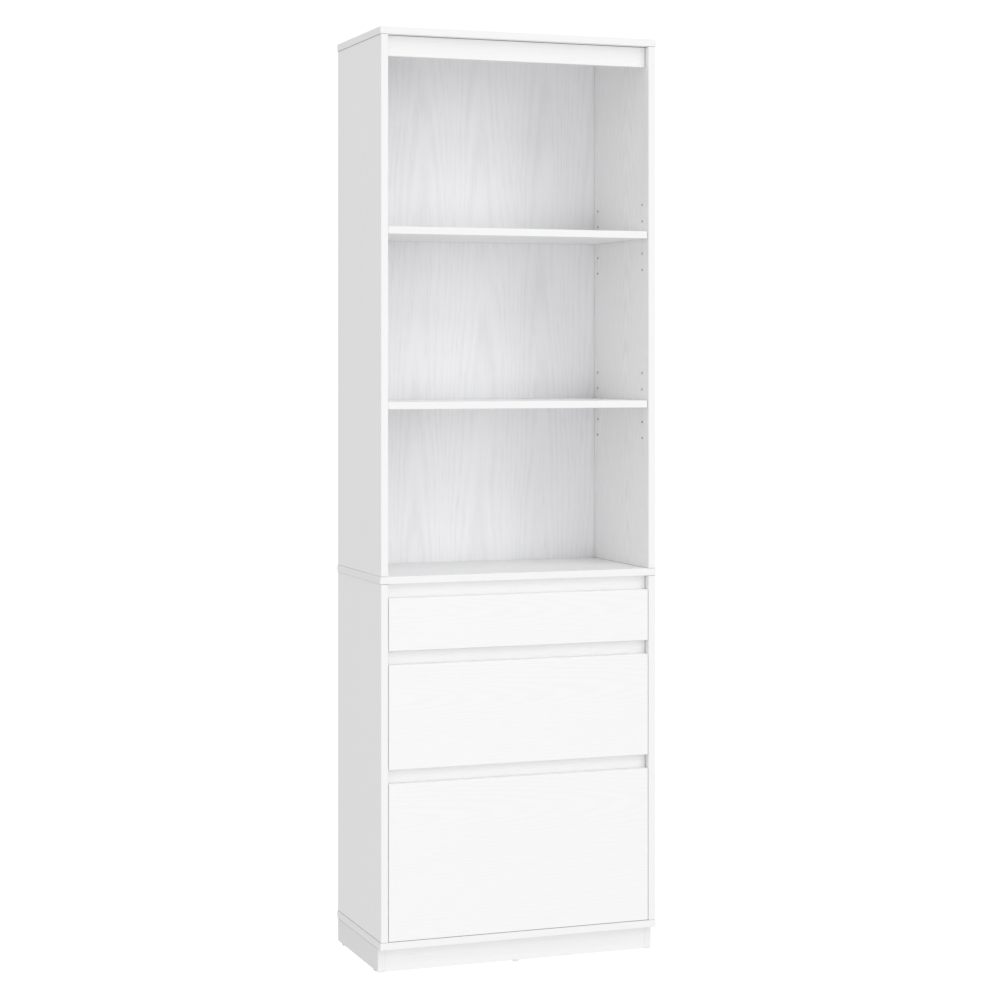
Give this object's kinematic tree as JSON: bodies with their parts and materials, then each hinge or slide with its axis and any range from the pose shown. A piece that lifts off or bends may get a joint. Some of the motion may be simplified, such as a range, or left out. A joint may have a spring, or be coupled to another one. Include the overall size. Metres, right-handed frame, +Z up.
{
  "type": "bookcase with drawers",
  "caption": "Tall narrow white bookcase with adjustable shelves over handleless drawers on roller runners, opened by finger gaps, on a recessed plinth.",
  "frame": {"origin": "on the floor under the glides, at the middle of the overall width and depth", "axes": "+Z up, +X to the right seen from the front, the drawers open towards -Y and the back panels are at +Y"},
  "size_m": [0.6, 0.307, 1.9],
  "materials": {
    "white_melamine": "white melamine with a lightly embossed wood grain",
    "white_hardboard": "thin white lacquered hardboard",
    "white_steel": "white powder-coated folded steel",
    "nylon": "natural nylon",
    "zinc_fittings": "zinc plated",
    "nickel_pins": "nickel plated",
    "beech": "fluted raw beech",
    "white_glides": "hard white plastic"
  },
  "bodies": {
    "carcass": {"base_panel": "white_melamine", "cabinet_runners_bottom": "white_steel", "cabinet_runners_middle": "white_steel", "cabinet_runners_top": "white_steel", "cam_bolts": "zinc_fittings", "cam_locks": "zinc_fittings", "confirmat_screws": "zinc_fittings", "grip_rail_bottom": "white_melamine", "grip_rail_middle": "white_melamine", "grip_rail_top": "white_melamine", "lower_back_panel": "white_hardboard", "lower_side_left": "white_melamine", "lower_side_right": "white_melamine", "middle_panel": "white_melamine", "plinth_front": "white_melamine", "plinth_glides": "white_glides", "plinth_rear": "white_melamine", "plinth_side_left": "white_melamine", "plinth_side_right": "white_melamine", "runner_screws": "zinc_fittings", "shelf_lower": "white_melamine", "shelf_pins": "nickel_pins", "shelf_upper": "white_melamine", "top_panel": "white_melamine", "top_rail": "white_melamine", "upper_back_panel": "white_hardboard", "upper_side_left": "white_melamine", "upper_side_right": "white_melamine", "wood_dowels": "beech"},
    "drawer_top": {"drawer_top_back": "white_melamine", "drawer_top_bottom": "white_hardboard", "drawer_top_cam_fittings": "zinc_fittings", "drawer_top_front": "white_melamine", "drawer_top_runners": "white_steel", "drawer_top_screws": "zinc_fittings", "drawer_top_side_left": "white_melamine", "drawer_top_side_right": "white_melamine"},
    "front_rollers_top": {"cabinet_rollers_top": "nylon"},
    "rear_rollers_top": {"drawer_top_rollers": "nylon"},
    "drawer_middle": {"drawer_middle_back": "white_melamine", "drawer_middle_bottom": "white_hardboard", "drawer_middle_cam_fittings": "zinc_fittings", "drawer_middle_front": "white_melamine", "drawer_middle_runners": "white_steel", "drawer_middle_screws": "zinc_fittings", "drawer_middle_side_left": "white_melamine", "drawer_middle_side_right": "white_melamine"},
    "front_rollers_middle": {"cabinet_rollers_middle": "nylon"},
    "rear_rollers_middle": {"drawer_middle_rollers": "nylon"},
    "drawer_bottom": {"drawer_bottom_back": "white_melamine", "drawer_bottom_bottom": "white_hardboard", "drawer_bottom_cam_fittings": "zinc_fittings", "drawer_bottom_front": "white_melamine", "drawer_bottom_runners": "white_steel", "drawer_bottom_screws": "zinc_fittings", "drawer_bottom_side_left": "white_melamine", "drawer_bottom_side_right": "white_melamine"},
    "front_rollers_bottom": {"cabinet_rollers_bottom": "nylon"},
    "rear_rollers_bottom": {"drawer_bottom_rollers": "nylon"}
  },
  "joints": [
    {"name": "drawer_top_slide", "type": "slide", "parent": "carcass", "child": "drawer_top", "axis": [0, -1, 0], "range_m": [0, 0.2]},
    {"name": "front_rollers_top_spin", "type": "hinge", "parent": "carcass", "child": "front_rollers_top", "pos_m": [0, -0.1215, 0.67115], "axis": [1, 0, 0], "range_deg": [0, 1274]},
    {"name": "rear_rollers_top_spin", "type": "hinge", "parent": "drawer_top", "child": "rear_rollers_top", "pos_m": [0, 0.1079, 0.66925], "axis": [1, 0, 0], "range_deg": [0, 1274]},
    {"name": "drawer_middle_slide", "type": "slide", "parent": "carcass", "child": "drawer_middle", "axis": [0, -1, 0], "range_m": [0, 0.2]},
    {"name": "front_rollers_middle_spin", "type": "hinge", "parent": "carcass", "child": "front_rollers_middle", "pos_m": [0, -0.1215, 0.43315], "axis": [1, 0, 0], "range_deg": [0, 1274]},
    {"name": "rear_rollers_middle_spin", "type": "hinge", "parent": "drawer_middle", "child": "rear_rollers_middle", "pos_m": [0, 0.1079, 0.43125], "axis": [1, 0, 0], "range_deg": [0, 1274]},
    {"name": "drawer_bottom_slide", "type": "slide", "parent": "carcass", "child": "drawer_bottom", "axis": [0, -1, 0], "range_m": [0, 0.2]},
    {"name": "front_rollers_bottom_spin", "type": "hinge", "parent": "carcass", "child": "front_rollers_bottom", "pos_m": [0, -0.1215, 0.08935], "axis": [1, 0, 0], "range_deg": [0, 1274]},
    {"name": "rear_rollers_bottom_spin", "type": "hinge", "parent": "drawer_bottom", "child": "rear_rollers_bottom", "pos_m": [0, 0.1079, 0.08745], "axis": [1, 0, 0], "range_deg": [0, 1274]}
  ],
  "couplings": [
    {"joint": "front_rollers_top_spin", "follows": "drawer_top_slide", "rad_per_m": 111.11},
    {"joint": "rear_rollers_top_spin", "follows": "drawer_top_slide", "rad_per_m": 111.11},
    {"joint": "front_rollers_middle_spin", "follows": "drawer_middle_slide", "rad_per_m": 111.11},
    {"joint": "rear_rollers_middle_spin", "follows": "drawer_middle_slide", "rad_per_m": 111.11},
    {"joint": "front_rollers_bottom_spin", "follows": "drawer_bottom_slide", "rad_per_m": 111.11},
    {"joint": "rear_rollers_bottom_spin", "follows": "drawer_bottom_slide", "rad_per_m": 111.11}
  ]
}
